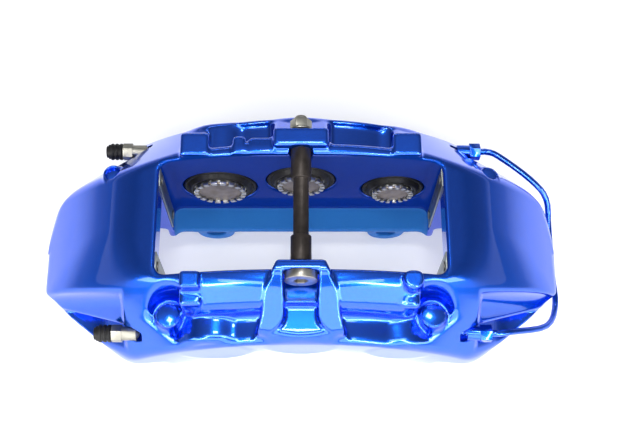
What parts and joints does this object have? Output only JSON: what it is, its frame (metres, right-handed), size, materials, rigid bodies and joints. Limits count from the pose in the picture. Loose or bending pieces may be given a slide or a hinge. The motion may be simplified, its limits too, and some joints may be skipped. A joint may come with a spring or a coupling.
{
  "type": "brake caliper",
  "caption": "Fixed monobloc disc brake caliper with opposed pistons, open pad window, bridge bolt, bleed screws and crossover pipe.",
  "frame": {"origin": "midway between the two mounting holes, on the inboard seat face of the ears", "axes": "+X along the caliper, +Y inboard along the disc axis, +Z radially out from the disc axis"},
  "size_m": [0.3852, 0.168, 0.151],
  "materials": {
    "blue_paint": "gloss candy blue lacquer",
    "piston_metal": "turned, bright",
    "insert_metal": "dull brown-grey heat shield",
    "seal_rubber": "matt",
    "black_rubber": "satin",
    "zinc_steel": "zinc plated",
    "plate_steel": "stainless spring steel",
    "bolt_steel": "plated, slightly bronze",
    "black_sleeve": "black oxide"
  },
  "bodies": {
    "caliper": {"caliper_body": "blue_paint", "outboard_seal_large": "seal_rubber", "outboard_seal_medium": "seal_rubber", "outboard_seal_small": "seal_rubber", "inboard_seal_large": "seal_rubber", "inboard_seal_medium": "seal_rubber", "inboard_seal_small": "seal_rubber", "outboard_boot_large": "black_rubber", "outboard_boot_medium": "black_rubber", "outboard_boot_small": "black_rubber", "inboard_boot_large": "black_rubber", "inboard_boot_medium": "black_rubber", "inboard_boot_small": "black_rubber", "outboard_plate_left": "plate_steel", "outboard_plate_right": "plate_steel", "inboard_plate_left": "plate_steel", "inboard_plate_right": "plate_steel", "plate_screws": "zinc_steel", "bridge_bolt": "bolt_steel", "bridge_sleeve": "black_sleeve", "bridge_washer": "zinc_steel", "bridge_nut": "zinc_steel", "outboard_pipe_nut": "blue_paint", "inboard_pipe_nut": "blue_paint", "crossover_pipe": "blue_paint", "passage_plugs": "blue_paint"},
    "outboard_piston_large": {"outboard_piston_large": "piston_metal", "outboard_insert_large": "insert_metal"},
    "outboard_piston_medium": {"outboard_piston_medium": "piston_metal", "outboard_insert_medium": "insert_metal"},
    "outboard_piston_small": {"outboard_piston_small": "piston_metal", "outboard_insert_small": "insert_metal"},
    "outboard_bleed_screw": {"outboard_bleed_screw": "zinc_steel"},
    "outboard_bleed_cap": {"outboard_bleed_cap": "black_rubber"},
    "inboard_piston_large": {"inboard_piston_large": "piston_metal", "inboard_insert_large": "insert_metal"},
    "inboard_piston_medium": {"inboard_piston_medium": "piston_metal", "inboard_insert_medium": "insert_metal"},
    "inboard_piston_small": {"inboard_piston_small": "piston_metal", "inboard_insert_small": "insert_metal"},
    "inboard_bleed_screw": {"inboard_bleed_screw": "zinc_steel"},
    "inboard_bleed_cap": {"inboard_bleed_cap": "black_rubber"}
  },
  "joints": [
    {"name": "outboard_large_slide", "type": "slide", "parent": "caliper", "child": "outboard_piston_large", "axis": [0, 1, 0], "range_m": [0, 0.012], "deforming": ["outboard_boot_large"]},
    {"name": "outboard_medium_slide", "type": "slide", "parent": "caliper", "child": "outboard_piston_medium", "axis": [0, 1, 0], "range_m": [0, 0.012], "deforming": ["outboard_boot_medium"]},
    {"name": "outboard_small_slide", "type": "slide", "parent": "caliper", "child": "outboard_piston_small", "axis": [0, 1, 0], "range_m": [0, 0.012], "deforming": ["outboard_boot_small"]},
    {"name": "outboard_bleed_turn", "type": "hinge", "parent": "caliper", "child": "outboard_bleed_screw", "pos_m": [-0.125, -0.1275, 0.0685], "axis": [-1, 0, 0], "range_deg": [0, 270]},
    {"name": "outboard_cap_pull", "type": "slide", "parent": "outboard_bleed_screw", "child": "outboard_bleed_cap", "axis": [-1, 0, 0], "range_m": [0, 0.016]},
    {"name": "inboard_large_slide", "type": "slide", "parent": "caliper", "child": "inboard_piston_large", "axis": [0, -1, 0], "range_m": [0, 0.012], "deforming": ["inboard_boot_large"]},
    {"name": "inboard_medium_slide", "type": "slide", "parent": "caliper", "child": "inboard_piston_medium", "axis": [0, -1, 0], "range_m": [0, 0.012], "deforming": ["inboard_boot_medium"]},
    {"name": "inboard_small_slide", "type": "slide", "parent": "caliper", "child": "inboard_piston_small", "axis": [0, -1, 0], "range_m": [0, 0.012], "deforming": ["inboard_boot_small"]},
    {"name": "inboard_bleed_turn", "type": "hinge", "parent": "caliper", "child": "inboard_bleed_screw", "pos_m": [-0.125, 0.0115, 0.0685], "axis": [-1, 0, 0], "range_deg": [0, 270]},
    {"name": "inboard_cap_pull", "type": "slide", "parent": "inboard_bleed_screw", "child": "inboard_bleed_cap", "axis": [-1, 0, 0], "range_m": [0, 0.016]}
  ]
}
